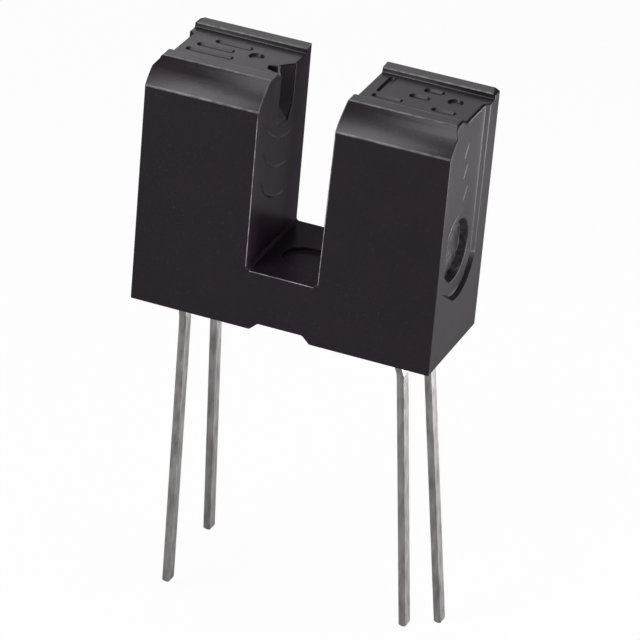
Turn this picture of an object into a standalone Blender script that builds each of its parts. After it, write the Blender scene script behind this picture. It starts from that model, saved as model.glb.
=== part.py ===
"""Slotted optical switch: a black U-shaped housing with an infrared emitter in one tower and a
phototransistor in the other, and four tinned leads.

Frame: X runs across the slot, -Y is the front with the sloping shoulders, +Z is up, and the
origin is the middle of the underside, where the feet of the housing meet the board.
"""
import math

import bmesh
import bpy
from mathutils import Vector

MM = 0.001

# Housing, outside
BODY_WIDTH = 12.0 * MM
BODY_DEPTH = 4.85 * MM
BODY_HEIGHT = 9.73 * MM
EDGE_RADIUS = 0.07 * MM

# Slot and the relief under it, which share a middle that lies a little towards the sensor
SLOT_WIDTH = 3.0 * MM
SLOT_SHIFT = 0.0425 * MM
SLOT_FLOOR_Z = 2.41 * MM
SLOT_DRAFT = 0.18 * MM
SLOT_FILLET = 0.12 * MM
STANDOFF_HEIGHT = 0.29 * MM
STANDOFF_GAP = 2.4 * MM
STANDOFF_RAMP = 0.31 * MM

# Tower top, from back to front: lip, sunk label flat, ridge and sloping shoulder
LIP_THICKNESS = 0.475 * MM
LIP_FALL = 0.07 * MM
LIP_END_WIDTH = 0.2 * MM
LIP_END_HEIGHT = 0.1 * MM
LABEL_FLAT_DROP = 0.28 * MM
RIDGE_BACK_Y = -0.45 * MM
RIDGE_TOP_Y = -0.86 * MM
RIDGE_FRONT_Y = -1.42 * MM
RIDGE_RISE = 0.22 * MM
RIDGE_FALL = 0.01 * MM
SHOULDER_DROP = 0.91 * MM
SHOULDER_TOP_RUN = 0.44 * MM
SHOULDER_TOP_FALL = 0.25 * MM
SHOULDER_FOOT_RUN = 0.085 * MM
SHOULDER_FOOT_RISE = 0.28 * MM

# Outer side of each tower: sunk panel with a round lower end, and a round recess in it
PANEL_DEPTH = 0.16 * MM
PANEL_BEVEL = 0.12 * MM
PANEL_BACK_Y = 1.5 * MM
PANEL_FRONT_Y = -1.86 * MM
PANEL_FRONT_BEVEL = 0.29 * MM
PANEL_ARC_RADIUS = 1.653 * MM
PANEL_ARC_Y = -0.107 * MM
PANEL_ARC_Z = 3.884 * MM
PANEL_ARC_START = 253.0
PANEL_CORNER_SLOPE = 0.63
RECESS_RADIUS = 1.2 * MM
RECESS_DEPTH = 0.35 * MM
RECESS_Y = -0.25 * MM
RECESS_Z = 4.21 * MM

# Slot side of the emitter tower: a groove that opens at the top, and a pit beside it
GROOVE_DEPTH = 0.45 * MM
GROOVE_FRONT_Y = -0.55 * MM
GROOVE_APEX_Y = 0.45 * MM
GROOVE_BACK_Y = 0.95 * MM
GROOVE_FULL_Z = 7.95 * MM
GROOVE_END_Z = 7.3 * MM
GROOVE_MOUTH = 0.1 * MM
GROOVE_RUNOUT = 0.05 * MM
PIT_START = 0.42 * MM
PIT_LENGTH = 0.62 * MM
PIT_WIDTH = 0.3 * MM
PIT_BULGE = 0.345 * MM
PIT_DEPTH = 0.45 * MM
PIT_WALL = 0.1 * MM

# Shallow round recess in the slot floor
FLOOR_RECESS_RADIUS = 0.85 * MM
FLOOR_RECESS_DEPTH = 0.15 * MM
FLOOR_RECESS_Y = -0.35 * MM

# Pocket in the middle of each tower, open at the bottom
POCKET_WIDTH = 2.84 * MM
POCKET_DEPTH = 3.9 * MM
POCKET_TOP_Z = 8.35 * MM
POCKET_RADIUS = 0.25 * MM

# Fits
FIT = 0.03 * MM
BOND_FIT = 0.02 * MM

# Moulded packages, with a lens that faces across the slot
OPTICAL_AXIS_Z = 7.0 * MM
PACKAGE_HEIGHT = 5.4 * MM
PACKAGE_THICKNESS = 2.0 * MM
PACKAGE_DRAFT = 0.12 * MM
PACKAGE_RADIUS = 0.3 * MM
LENS_RADIUS = 0.85 * MM
LENS_HEIGHT = 0.55 * MM
LENS_ROOT = 0.1 * MM

# Lead frame
LEAD_SHIFT = 0.55 * MM
LEAD_PITCH = 2.54 * MM
LEAD_THICKNESS = 0.3 * MM
LEAD_WIDTH = 0.48 * MM
LEAD_TIP_CHAMFER = 0.09 * MM
SHANK_TOP_DROP = 0.3 * MM
HEAD_FOOT_DROP = 0.35 * MM
HEAD_TAPER = 0.4 * MM
PAD_SIZE = 1.0 * MM
PAD_STEP = 0.15 * MM
POST_TOP_Z = 6.2 * MM
POST_HEAD_WIDTH = 0.75 * MM
POST_HEAD_HEIGHT = 0.5 * MM
POST_TAPER = 0.2 * MM

# Chips, their adhesive and the bond wires
EMITTER_DIE_SIZE = 0.32 * MM
SENSOR_DIE_SIZE = 0.55 * MM
DIE_THICKNESS = 0.18 * MM
DIE_ATTACH_THICKNESS = 0.04 * MM
DIE_ATTACH_MARGIN = 0.05 * MM
WIRE_PLACE = 0.2
WIRE_RADIUS = 0.02 * MM
WIRE_START_RISE = 0.42 * MM
WIRE_END_RISE = 0.6 * MM

# Potting at the mouth of each pocket
POTTING_RECESS = 0.12 * MM

# Leads below the housing: where each one leans, as the photograph shows them
KNEE_Z = -1.0 * MM
LEADS = {
    "emitter_anode_lead": dict(side=-1, row=-1, length=12.38 * MM, knee=0.09 * MM, lean=0.08 * MM),
    "emitter_cathode_lead": dict(side=-1, row=1, length=11.28 * MM, knee=0.26 * MM, lean=0.38 * MM),
    "sensor_emitter_lead": dict(side=1, row=-1, length=11.64 * MM, knee=0.29 * MM, lean=0.95 * MM),
    "sensor_collector_lead": dict(side=1, row=1, length=12.79 * MM, knee=0.36 * MM, lean=1.39 * MM),
}
LEAN_ASIDE = 0.37

# Values that follow from the ones above
FRONT_Y = -BODY_DEPTH / 2
BACK_Y = BODY_DEPTH / 2
LABEL_FLAT_Z = BODY_HEIGHT - LABEL_FLAT_DROP
RIDGE_Z = LABEL_FLAT_Z + RIDGE_RISE
SLOT_LOW_X = SLOT_SHIFT - SLOT_WIDTH / 2
SLOT_HIGH_X = SLOT_SHIFT + SLOT_WIDTH / 2
TOWER_X = (BODY_WIDTH + SLOT_WIDTH) / 4
POCKET_INNER_X = TOWER_X - POCKET_WIDTH / 2
POCKET_OUTER_X = TOWER_X + POCKET_WIDTH / 2
LEAD_X = TOWER_X + LEAD_SHIFT
PACKAGE_TOP_Z = POCKET_TOP_Z - FIT
PACKAGE_BOTTOM_Z = PACKAGE_TOP_Z - PACKAGE_HEIGHT
PACKAGE_WIDTH = POCKET_DEPTH - 2 * FIT
PACKAGE_OUTER_X = POCKET_OUTER_X - FIT
LENS_BASE_X = PACKAGE_OUTER_X - PACKAGE_THICKNESS
PAD_FACE_X = LEAD_X - LEAD_THICKNESS / 2
DIE_BASE_X = PAD_FACE_X - DIE_ATTACH_THICKNESS - 2 * BOND_FIT
DIE_TOP_X = DIE_BASE_X - DIE_THICKNESS
PAST = 1.0 * MM


def clear_scene():
    for obj in list(bpy.data.objects):
        bpy.data.objects.remove(obj, do_unlink=True)


def make_material(name, colour, roughness, metallic=0.0, transmission=0.0):
    material = bpy.data.materials.new(name)
    material.use_nodes = True
    shader = material.node_tree.nodes["Principled BSDF"]
    shader.inputs["Base Color"].default_value = (*colour, 1.0)
    shader.inputs["Roughness"].default_value = roughness
    shader.inputs["Metallic"].default_value = metallic
    shader.inputs["Transmission Weight"].default_value = transmission
    material.diffuse_color = (*colour, 1.0)
    return material


def finish_mesh(name, bm, material=None):
    """Turns a bmesh into an object with its faces pointing out."""
    bmesh.ops.remove_doubles(bm, verts=bm.verts, dist=1e-8)
    bmesh.ops.recalc_face_normals(bm, faces=bm.faces)
    mesh = bpy.data.meshes.new(name)
    bm.to_mesh(mesh)
    bm.free()
    obj = bpy.data.objects.new(name, mesh)
    bpy.context.collection.objects.link(obj)
    if material:
        mesh.materials.append(material)
    return obj


def smooth(obj, angle=35.0):
    obj.data.shade_smooth()
    obj.data.set_sharp_from_angle(angle=math.radians(angle))


def loft(name, rings, material=None):
    """Closed solid through rings that have the same number of points."""
    bm = bmesh.new()
    loops = [[bm.verts.new(point) for point in ring] for ring in rings]
    count = len(rings[0])
    for low, high in zip(loops, loops[1:]):
        for i in range(count):
            j = (i + 1) % count
            bm.faces.new((low[i], low[j], high[j], high[i]))
    bm.faces.new(loops[0])
    bm.faces.new(loops[-1])
    return finish_mesh(name, bm, material)


def prism(name, outline, axis, low, high, material=None):
    """Extrudes a closed outline. Axis X takes (y, z) points, Y takes (x, z) and Z takes (x, y)."""
    place = {
        "X": lambda a, b, t: (t, a, b),
        "Y": lambda a, b, t: (a, t, b),
        "Z": lambda a, b, t: (a, b, t),
    }[axis]
    rings = [[place(a, b, t) for a, b in outline] for t in (low, high)]
    return loft(name, rings, material)


def arc(centre, radius, start, end, steps):
    """Points on a circle from one angle to another, in degrees."""
    angles = [math.radians(start + (end - start) * i / steps) for i in range(steps + 1)]
    return [(centre[0] + radius * math.cos(a), centre[1] + radius * math.sin(a)) for a in angles]


def bezier(points, steps):
    p0, p1, p2, p3 = (Vector(p) for p in points)
    result = []
    for i in range(steps + 1):
        t = i / steps
        u = 1 - t
        result.append(tuple(p0 * u ** 3 + p1 * 3 * u * u * t + p2 * 3 * u * t * t + p3 * t ** 3))
    return result


def rounded(outline, radius, steps=3):
    """Rounds every corner of a closed outline by a small radius."""
    count = len(outline)
    result = []
    for i, point in enumerate(outline):
        corner = Vector(point)
        before = Vector(outline[i - 1]) - corner
        after = Vector(outline[(i + 1) % count]) - corner
        turn = before.angle(after)
        if turn > math.radians(150):
            result.append(tuple(corner))
            continue
        reach = min(radius / math.tan(turn / 2), before.length * 0.45, after.length * 0.45)
        start = corner + before.normalized() * reach
        end = corner + after.normalized() * reach
        for k in range(steps + 1):
            t = k / steps
            u = 1 - t
            result.append(tuple(start * u * u + corner * 2 * u * t + end * t * t))
    return result


def offset_outline(outline, distance):
    """Moves each edge of a counter-clockwise outline outwards by one distance."""
    count = len(outline)
    result = []
    for i in range(count):
        here = Vector(outline[i])
        into = (here - Vector(outline[i - 1])).normalized()
        out = (Vector(outline[(i + 1) % count]) - here).normalized()
        normal_in = Vector((into.y, -into.x))
        normal_out = Vector((out.y, -out.x))
        bisector = (normal_in + normal_out).normalized()
        result.append(tuple(here + bisector * (distance / bisector.dot(normal_in))))
    return result


def rectangle(x_low, x_high, y_low, y_high):
    return [(x_low, y_low), (x_high, y_low), (x_high, y_high), (x_low, y_high)]


def hide_tool(tool):
    tool.hide_render = True
    tool.display_type = "WIRE"


def combine(obj, tool, operation):
    modifier = obj.modifiers.new(tool.name, "BOOLEAN")
    modifier.operation = operation
    modifier.solver = "EXACT"
    modifier.object = tool
    hide_tool(tool)


def mirrored(outline, side):
    """Outline of (x, y) or (x, z) points on the emitter side (-1) or the sensor side (1)."""
    return [(side * a, b) for a, b in outline]


def tower_profile():
    """Side profile of the housing in Y and Z, the whole way round."""
    lip_front_y = BACK_Y - LIP_THICKNESS
    ridge_front_z = RIDGE_Z - RIDGE_FALL
    shoulder_z = RIDGE_Z - SHOULDER_DROP
    shoulder = bezier(
        [
            (RIDGE_FRONT_Y, ridge_front_z),
            (RIDGE_FRONT_Y - SHOULDER_TOP_RUN, ridge_front_z - SHOULDER_TOP_FALL),
            (FRONT_Y + SHOULDER_FOOT_RUN, shoulder_z + SHOULDER_FOOT_RISE),
            (FRONT_Y, shoulder_z),
        ],
        12,
    )
    top = [
        (BACK_Y, 0.0),
        (BACK_Y, BODY_HEIGHT),
        (lip_front_y, BODY_HEIGHT - LIP_FALL),
        (lip_front_y, LABEL_FLAT_Z),
        (RIDGE_BACK_Y, LABEL_FLAT_Z),
        (RIDGE_TOP_Y, RIDGE_Z),
    ]
    return top + shoulder + [(FRONT_Y, 0.0)]


def panel_outline(inset, front_y):
    """Straight back, a round lower end that meets it at an angle, a slanted corner and a straight front."""
    radius = PANEL_ARC_RADIUS - inset
    back_y = PANEL_BACK_Y - inset
    top_z = BODY_HEIGHT + PAST
    reach = math.degrees(math.acos((back_y - PANEL_ARC_Y) / radius))
    round_end = arc((PANEL_ARC_Y, PANEL_ARC_Z), radius, PANEL_ARC_START, 360 - reach, 24)
    start_y, start_z = round_end[0]
    corner_z = start_z + PANEL_CORNER_SLOPE * (start_y - front_y)
    return [(front_y, top_z), (front_y, corner_z)] + round_end + [(back_y, top_z)]


def side_panel_tools(side):
    """Cutters of the sunk panel and of the round recess on the outer side of a tower."""
    face_x = side * BODY_WIDTH / 2
    floor_x = side * (BODY_WIDTH / 2 - PANEL_DEPTH)
    past_x = side * (BODY_WIDTH / 2 + PAST)
    face = panel_outline(0.0, PANEL_FRONT_Y)
    floor = panel_outline(PANEL_BEVEL, PANEL_FRONT_Y + PANEL_FRONT_BEVEL)
    rings = [[(x, y, z) for y, z in ring] for x, ring in ((floor_x, floor), (face_x, face), (past_x, face))]
    panel = loft("panel_tool_%d" % side, rings)
    circle = arc((RECESS_Y, RECESS_Z), RECESS_RADIUS, 0, 360, 40)[:-1]
    recess_x = floor_x - side * RECESS_DEPTH
    recess = prism("recess_tool_%d" % side, circle, "X", recess_x, past_x)
    return [panel, recess]


def slot_tool():
    """Slot with the draft of its sensor side and small fillets along the floor."""
    top_z = BODY_HEIGHT + PAST
    fillet_z = SLOT_FLOOR_Z + SLOT_FILLET
    slope = SLOT_DRAFT / (BODY_HEIGHT - SLOT_FLOOR_Z)
    left = arc((SLOT_LOW_X + SLOT_FILLET, fillet_z), SLOT_FILLET, 180, 270, 4)
    right = arc((SLOT_HIGH_X - SLOT_DRAFT - SLOT_FILLET, fillet_z), SLOT_FILLET, 270, 360, 4)
    top = [(SLOT_HIGH_X + slope * PAST, top_z), (SLOT_LOW_X, top_z)]
    return prism("slot_tool", left + right + top, "Y", FRONT_Y - PAST, BACK_Y + PAST)


def relief_tool():
    """Shallow relief under the slot, which leaves a foot below each tower."""
    half = STANDOFF_GAP / 2
    shelf = half - STANDOFF_RAMP
    past = half + STANDOFF_RAMP / STANDOFF_HEIGHT * PAST
    outline = [
        (SLOT_SHIFT - shelf, STANDOFF_HEIGHT),
        (SLOT_SHIFT + shelf, STANDOFF_HEIGHT),
        (SLOT_SHIFT + past, -PAST),
        (SLOT_SHIFT - past, -PAST),
    ]
    return prism("relief_tool", outline, "Y", FRONT_Y - PAST, BACK_Y + PAST)


def groove_tool():
    """Three-sided groove in the slot side of the emitter tower, which runs out at its lower end."""
    mouth_x = SLOT_LOW_X + GROOVE_MOUTH
    rings = []
    top_z = BODY_HEIGHT + PAST
    for z, depth in ((GROOVE_END_Z, -GROOVE_RUNOUT), (GROOVE_FULL_Z, GROOVE_DEPTH), (top_z, GROOVE_DEPTH)):
        outline = [
            (SLOT_LOW_X + PAST, GROOVE_FRONT_Y),
            (mouth_x, GROOVE_FRONT_Y - GROOVE_MOUTH),
            (SLOT_LOW_X - depth, GROOVE_APEX_Y),
            (mouth_x, GROOVE_BACK_Y + GROOVE_MOUTH),
            (SLOT_LOW_X + PAST, GROOVE_BACK_Y),
        ]
        rings.append([(x, y, z) for x, y in outline])
    return loft("groove_tool", rings)


def pit_tool():
    """Small pit in the tower top, which leaves a thin wall along the groove's front flank."""
    flank = Vector((-GROOVE_DEPTH, GROOVE_APEX_Y - GROOVE_FRONT_Y)).normalized()
    out = Vector((-flank.y, flank.x))
    start = Vector((SLOT_LOW_X, GROOVE_FRONT_Y)) + flank * PIT_START + out * PIT_WALL
    middle = start + flank * PIT_LENGTH / 2
    end = start + flank * PIT_LENGTH
    corners = [start, end, end + out * PIT_WIDTH, middle + out * PIT_BULGE]
    return prism("pit_tool", [tuple(p) for p in corners], "Z", LABEL_FLAT_Z - PIT_DEPTH, BODY_HEIGHT + PAST)


def pocket_tool(side):
    half = POCKET_DEPTH / 2
    outline = rounded(rectangle(POCKET_INNER_X, POCKET_OUTER_X, -half, half), POCKET_RADIUS, 4)
    return prism("pocket_tool_%d" % side, mirrored(outline, side), "Z", -PAST, POCKET_TOP_Z)


def floor_recess_tool():
    circle = arc((SLOT_SHIFT, FLOOR_RECESS_Y), FLOOR_RECESS_RADIUS, 0, 360, 32)[:-1]
    return prism("floor_recess_tool", circle, "Z", SLOT_FLOOR_Z - FLOOR_RECESS_DEPTH, SLOT_FLOOR_Z + PAST)


def plan_tool():
    """Plan outline with rounded upright edges."""
    half = BODY_WIDTH / 2
    outline = rounded(rectangle(-half, half, FRONT_Y, BACK_Y), EDGE_RADIUS)
    return prism("plan_tool", outline, "Z", -PAST, BODY_HEIGHT + PAST)


def lip_end_tool(side):
    """Wedge that cuts the outer top corner of the lip."""
    half = BODY_WIDTH / 2
    start_y = BACK_Y - LIP_THICKNESS - PAST / 10
    rise = LIP_END_HEIGHT / LIP_END_WIDTH
    outline = [
        (half + PAST, BODY_HEIGHT - LIP_END_HEIGHT - rise * PAST),
        (half + PAST, BODY_HEIGHT + rise * PAST),
        (half - LIP_END_WIDTH - PAST, BODY_HEIGHT + rise * PAST),
    ]
    return prism("lip_end_tool_%d" % side, mirrored(outline, side), "Y", start_y, BACK_Y + PAST)


def build_housing(material):
    half = BODY_WIDTH / 2
    profile = rounded(tower_profile(), EDGE_RADIUS)
    housing = prism("housing", profile, "X", -half, half, material)
    combine(housing, plan_tool(), "INTERSECT")
    tools = [slot_tool(), relief_tool(), floor_recess_tool(), groove_tool(), pit_tool()]
    for side in (-1, 1):
        tools += side_panel_tools(side)
        tools += [pocket_tool(side), lip_end_tool(side)]
    for tool in tools:
        combine(housing, tool, "DIFFERENCE")
    return housing


def lead_path(lead):
    """Stations down a lead, with how far each one leans from its nominal place."""
    steps = 6
    stations = [(PACKAGE_BOTTOM_Z - SHANK_TOP_DROP, 0.0), (POTTING_RECESS, 0.0)]
    for i in range(1, steps + 1):
        t = i / steps
        ease = t * t * (3 - 2 * t)
        stations.append((POTTING_RECESS + (KNEE_Z - POTTING_RECESS) * t, lead["knee"] * ease))
    return stations + [(-lead["length"], lead["knee"] + lead["lean"])]


def lead_shank(name, lead, grow, material):
    """Straight strip that bends a little under the housing and ends in a small taper."""
    x = lead["side"] * LEAD_X
    y = lead["row"] * LEAD_PITCH / 2

    def ring(z, offset, inset=0.0):
        a = LEAD_THICKNESS / 2 + grow - inset
        b = LEAD_WIDTH / 2 + grow - inset
        centre_x = x + offset
        centre_y = y + offset * LEAN_ASIDE
        corners = rectangle(centre_x - a, centre_x + a, centre_y - b, centre_y + b)
        return [(cx, cy, z) for cx, cy in corners]

    stations = lead_path(lead)
    tip_z, tip_offset = stations[-1]
    rings = [ring(z, offset) for z, offset in stations[:-1]]
    rings.append(ring(tip_z + LEAD_TIP_CHAMFER, tip_offset))
    rings.append(ring(tip_z, tip_offset, LEAD_TIP_CHAMFER))
    return loft(name, rings, material)


def frame_head(name, lead, grow, carries_die):
    """Flat head of a lead inside the package: a die pad on an arm, or a post for the wire."""
    side, row = lead["side"], lead["row"]
    y = LEAD_PITCH / 2
    half = LEAD_WIDTH / 2
    foot_z = PACKAGE_BOTTOM_Z - HEAD_FOOT_DROP
    if carries_die:
        pad = PAD_SIZE / 2
        outline = [
            (y + half, foot_z),
            (y + half, OPTICAL_AXIS_Z + pad),
            (-pad, OPTICAL_AXIS_Z + pad),
            (-pad, OPTICAL_AXIS_Z - pad),
            (y - half - PAD_STEP, OPTICAL_AXIS_Z - pad),
            (y - half, OPTICAL_AXIS_Z - pad - HEAD_TAPER),
            (y - half, foot_z),
        ]
    else:
        head_low = POST_TOP_Z - POST_HEAD_HEIGHT
        outline = [
            (y + half, foot_z),
            (y + half, POST_TOP_Z),
            (y + half - POST_HEAD_WIDTH, POST_TOP_Z),
            (y + half - POST_HEAD_WIDTH, head_low),
            (y - half, head_low - POST_TAPER),
            (y - half, foot_z),
        ]
    if grow:
        outline = offset_outline(outline, grow)
    placed = [(row * a, b) for a, b in outline]
    low = side * LEAD_X - LEAD_THICKNESS / 2 - grow
    high = side * LEAD_X + LEAD_THICKNESS / 2 + grow
    return prism(name, placed, "X", low, high)


def build_lead(name, material):
    lead = LEADS[name]
    carries_die = lead["row"] > 0
    obj = lead_shank(name, lead, 0.0, material)
    combine(obj, frame_head(name + "_head", lead, 0.0, carries_die), "UNION")
    return obj


def lead_rooms(side, neighbour):
    """Oversize copies of a tower's leads, which leave the fit round them in a neighbour."""
    rooms = []
    for name, lead in LEADS.items():
        if lead["side"] == side:
            label = name + "_room_in_" + neighbour
            rooms.append(lead_shank(label, lead, BOND_FIT, None))
            rooms.append(frame_head(label + "_head", lead, BOND_FIT, lead["row"] > 0))
    return rooms


def block_on_pad(name, side, size, base_x, thickness, grow=0.0, material=None):
    """Square block on the die pad, centred on the optical axis."""
    half = size / 2 + grow
    outline = rectangle(-half, half, OPTICAL_AXIS_Z - half, OPTICAL_AXIS_Z + half)
    near = side * (base_x + grow)
    far = side * (base_x - thickness - grow)
    return prism(name, outline, "X", min(near, far), max(near, far), material)


def wire_points(lead, die_size):
    """Loop of a bond wire from the top of the die to the head of the other lead."""
    side = lead["side"]
    half = LEAD_PITCH / 2 + LEAD_WIDTH / 2
    place = die_size * WIRE_PLACE
    start = Vector((DIE_TOP_X - BOND_FIT, -place, OPTICAL_AXIS_Z - place))
    end_y = -(half - POST_HEAD_WIDTH / 2)
    end = Vector((PAD_FACE_X - BOND_FIT, end_y, POST_TOP_Z - POST_HEAD_HEIGHT / 2))
    after_start = start - Vector((WIRE_START_RISE, 0.0, 0.0))
    before_end = end - Vector((WIRE_END_RISE, 0.0, 0.0))
    points = [Vector(p) for p in bezier([start, after_start, before_end, end], 10)]
    return [Vector((side * p.x, p.y, p.z)) for p in points]


def tube(name, points, radius, material=None, sides=8):
    """Round tube along a path, with flat ends."""
    rings = []
    for i, point in enumerate(points):
        before = points[max(i - 1, 0)]
        after = points[min(i + 1, len(points) - 1)]
        along = (after - before).normalized()
        across = along.cross(Vector((0.0, 0.6, 0.8))).normalized()
        up = along.cross(across)
        turns = [math.tau * k / sides for k in range(sides)]
        rings.append([point + across * radius * math.cos(a) + up * radius * math.sin(a) for a in turns])
    return loft(name, rings, material)


def package_rings(side):
    """Rounded block with draft towards its outer side."""
    half = PACKAGE_WIDTH / 2
    rings = []
    for x, inset in ((PACKAGE_OUTER_X, PACKAGE_DRAFT), (LEAD_X, 0.0), (LENS_BASE_X, PACKAGE_DRAFT)):
        low_z = PACKAGE_BOTTOM_Z + inset
        high_z = PACKAGE_TOP_Z - inset
        outline = rectangle(-half + inset, half - inset, low_z, high_z)
        rings.append([(side * x, y, z) for y, z in rounded(outline, PACKAGE_RADIUS, 4)])
    return rings


def lens_rings(side):
    """Dome of the lens, from inside the block out to its crown."""
    steps = 6
    rings = []
    for i in range(steps + 1):
        t = math.radians(86 * i / steps)
        radius = LENS_RADIUS * math.cos(t)
        x = LENS_BASE_X - LENS_HEIGHT * math.sin(t)
        circle = arc((0.0, OPTICAL_AXIS_Z), radius, 0, 360, 28)[:-1]
        rings.append([(side * x, y, z) for y, z in circle])
    inside = [(side * (LENS_BASE_X + LENS_ROOT), y, z) for _, y, z in rings[0]]
    return [inside] + rings


def build_package(kind, side, die_size, post, material):
    name = kind + "_package"
    package = loft(name, package_rings(side), material)
    combine(package, loft(name + "_lens", lens_rings(side)), "UNION")
    tools = lead_rooms(side, "package")
    attach_size = die_size + 2 * DIE_ATTACH_MARGIN
    attach_room = DIE_ATTACH_THICKNESS + 2 * BOND_FIT
    tools.append(block_on_pad(kind + "_attach_room", side, attach_size, PAD_FACE_X, attach_room, BOND_FIT))
    tools.append(block_on_pad(kind + "_die_room", side, die_size, DIE_BASE_X, DIE_THICKNESS, BOND_FIT))
    points = wire_points(LEADS[post], die_size)
    into = Vector((side * BOND_FIT, 0.0, 0.0))
    room = [points[0] + into] + points + [points[-1] + into]
    tools.append(tube(kind + "_wire_room", room, WIRE_RADIUS + BOND_FIT))
    for tool in tools:
        combine(package, tool, "DIFFERENCE")
    return package


def build_potting(kind, side, material):
    """Resin that closes the mouth of a pocket round the two leads."""
    half = POCKET_DEPTH / 2 - FIT
    outline = rectangle(POCKET_INNER_X + FIT, POCKET_OUTER_X - FIT, -half, half)
    outline = mirrored(rounded(outline, POCKET_RADIUS - FIT, 4), side)
    name = kind + "_potting"
    potting = prism(name, outline, "Z", POTTING_RECESS, PACKAGE_BOTTOM_Z - FIT, material)
    for tool in lead_rooms(side, "potting"):
        combine(potting, tool, "DIFFERENCE")
    return potting


def build_unit(kind, side, die_size, post, colours):
    """Everything that one tower holds."""
    build_package(kind, side, die_size, post, colours["package"])
    attach_size = die_size + 2 * DIE_ATTACH_MARGIN
    block_on_pad(
        kind + "_die_attach", side, attach_size, PAD_FACE_X - BOND_FIT, DIE_ATTACH_THICKNESS,
        material=colours["attach"],
    )
    block_on_pad(kind + "_die", side, die_size, DIE_BASE_X, DIE_THICKNESS, material=colours["die"])
    points = wire_points(LEADS[post], die_size)
    smooth(tube(kind + "_bond_wire", points, WIRE_RADIUS, colours["wire"]))
    build_potting(kind, side, colours["potting"])


def main():
    clear_scene()
    black = make_material("black_moulding", (0.012, 0.012, 0.014), 0.38)
    tinned = make_material("tinned_lead", (0.55, 0.55, 0.56), 0.32, 1.0)
    gold = make_material("gold_wire", (0.9, 0.66, 0.24), 0.25, 1.0)
    potting = make_material("potting_resin", (0.02, 0.02, 0.022), 0.55)
    silver = make_material("die_attach_silver", (0.6, 0.6, 0.58), 0.5, 0.8)
    emitter_colours = dict(
        package=make_material("emitter_resin", (0.62, 0.72, 0.84), 0.08, 0.0, 0.7),
        die=make_material("emitter_chip", (0.2, 0.17, 0.16), 0.3),
        attach=silver,
        wire=gold,
        potting=potting,
    )
    sensor_colours = dict(
        package=make_material("sensor_resin", (0.02, 0.015, 0.02), 0.1),
        die=make_material("sensor_chip", (0.1, 0.12, 0.18), 0.25),
        attach=silver,
        wire=gold,
        potting=potting,
    )
    smooth(build_housing(black), 30.0)
    for name in LEADS:
        build_lead(name, tinned)
    build_unit("emitter", -1, EMITTER_DIE_SIZE, "emitter_anode_lead", emitter_colours)
    build_unit("sensor", 1, SENSOR_DIE_SIZE, "sensor_emitter_lead", sensor_colours)


main()
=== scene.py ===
"""Looks of the slotted optical switch: a finely cut housing over the CAD one, procedural materials
for every piece, a pale floor and soft studio light.

The frame is the CAD's: X across the slot, -Y the front with the sloping shoulders, +Z up.
"""
import math
from functools import reduce

import bmesh
import bpy
from mathutils import Matrix, Vector, noise


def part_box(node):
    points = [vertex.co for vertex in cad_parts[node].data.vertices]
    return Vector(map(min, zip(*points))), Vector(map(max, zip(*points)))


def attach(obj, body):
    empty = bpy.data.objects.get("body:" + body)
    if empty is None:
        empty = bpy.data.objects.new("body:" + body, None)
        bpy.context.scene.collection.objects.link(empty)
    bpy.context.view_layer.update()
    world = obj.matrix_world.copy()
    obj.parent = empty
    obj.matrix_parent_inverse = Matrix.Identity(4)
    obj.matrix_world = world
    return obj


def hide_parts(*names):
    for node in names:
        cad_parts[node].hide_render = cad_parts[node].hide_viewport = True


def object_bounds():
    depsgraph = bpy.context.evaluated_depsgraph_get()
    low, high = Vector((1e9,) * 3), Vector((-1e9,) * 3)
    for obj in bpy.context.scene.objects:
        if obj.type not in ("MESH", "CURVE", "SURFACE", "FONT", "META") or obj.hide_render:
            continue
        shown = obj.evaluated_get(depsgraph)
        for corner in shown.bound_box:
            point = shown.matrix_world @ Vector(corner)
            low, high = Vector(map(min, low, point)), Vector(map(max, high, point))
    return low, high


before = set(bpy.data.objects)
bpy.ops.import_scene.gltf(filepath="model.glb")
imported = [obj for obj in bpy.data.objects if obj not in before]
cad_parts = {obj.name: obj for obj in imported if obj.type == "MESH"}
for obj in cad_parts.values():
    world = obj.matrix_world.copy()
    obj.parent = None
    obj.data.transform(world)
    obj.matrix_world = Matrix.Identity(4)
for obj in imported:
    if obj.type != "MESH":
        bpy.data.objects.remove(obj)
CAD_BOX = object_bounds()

MM = 0.001

# Housing, outside
HOUSING_LOW, HOUSING_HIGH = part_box("housing")
BODY_WIDTH = HOUSING_HIGH.x - HOUSING_LOW.x
FRONT_Y = HOUSING_LOW.y
BACK_Y = HOUSING_HIGH.y
BODY_HEIGHT = HOUSING_HIGH.z

# Rounding of the edges, with the angles in degrees
EDGE_RADIUS = 0.045 * MM
RIM_RADIUS = 0.11 * MM
EDGE_STEPS = 3
EDGE_ANGLE = 26
SHARP_ANGLE = 36
FLAT_ANGLE = 0.5
FOLD_ANGLE = 3
SHORTEST_EDGE = 0.02 * MM
NEAR = 0.02 * MM
HAIR = 0.001 * MM
# Margin along the outer sides where the rounded edges get none of the pale wear and painted highlight
WEAR_AND_HIGHLIGHT_MARGIN = 0.25 * MM

# Slot and the relief under it, which share a middle that lies a little towards the sensor
SLOT_WIDTH = 3.0 * MM
SLOT_SHIFT = 0.0425 * MM
SLOT_FLOOR_Z = 2.41 * MM
SLOT_DRAFT = 0.18 * MM
SLOT_FILLET = 0.12 * MM
STANDOFF_HEIGHT = 0.29 * MM
STANDOFF_GAP = 2.4 * MM
STANDOFF_RAMP = 0.31 * MM

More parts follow.
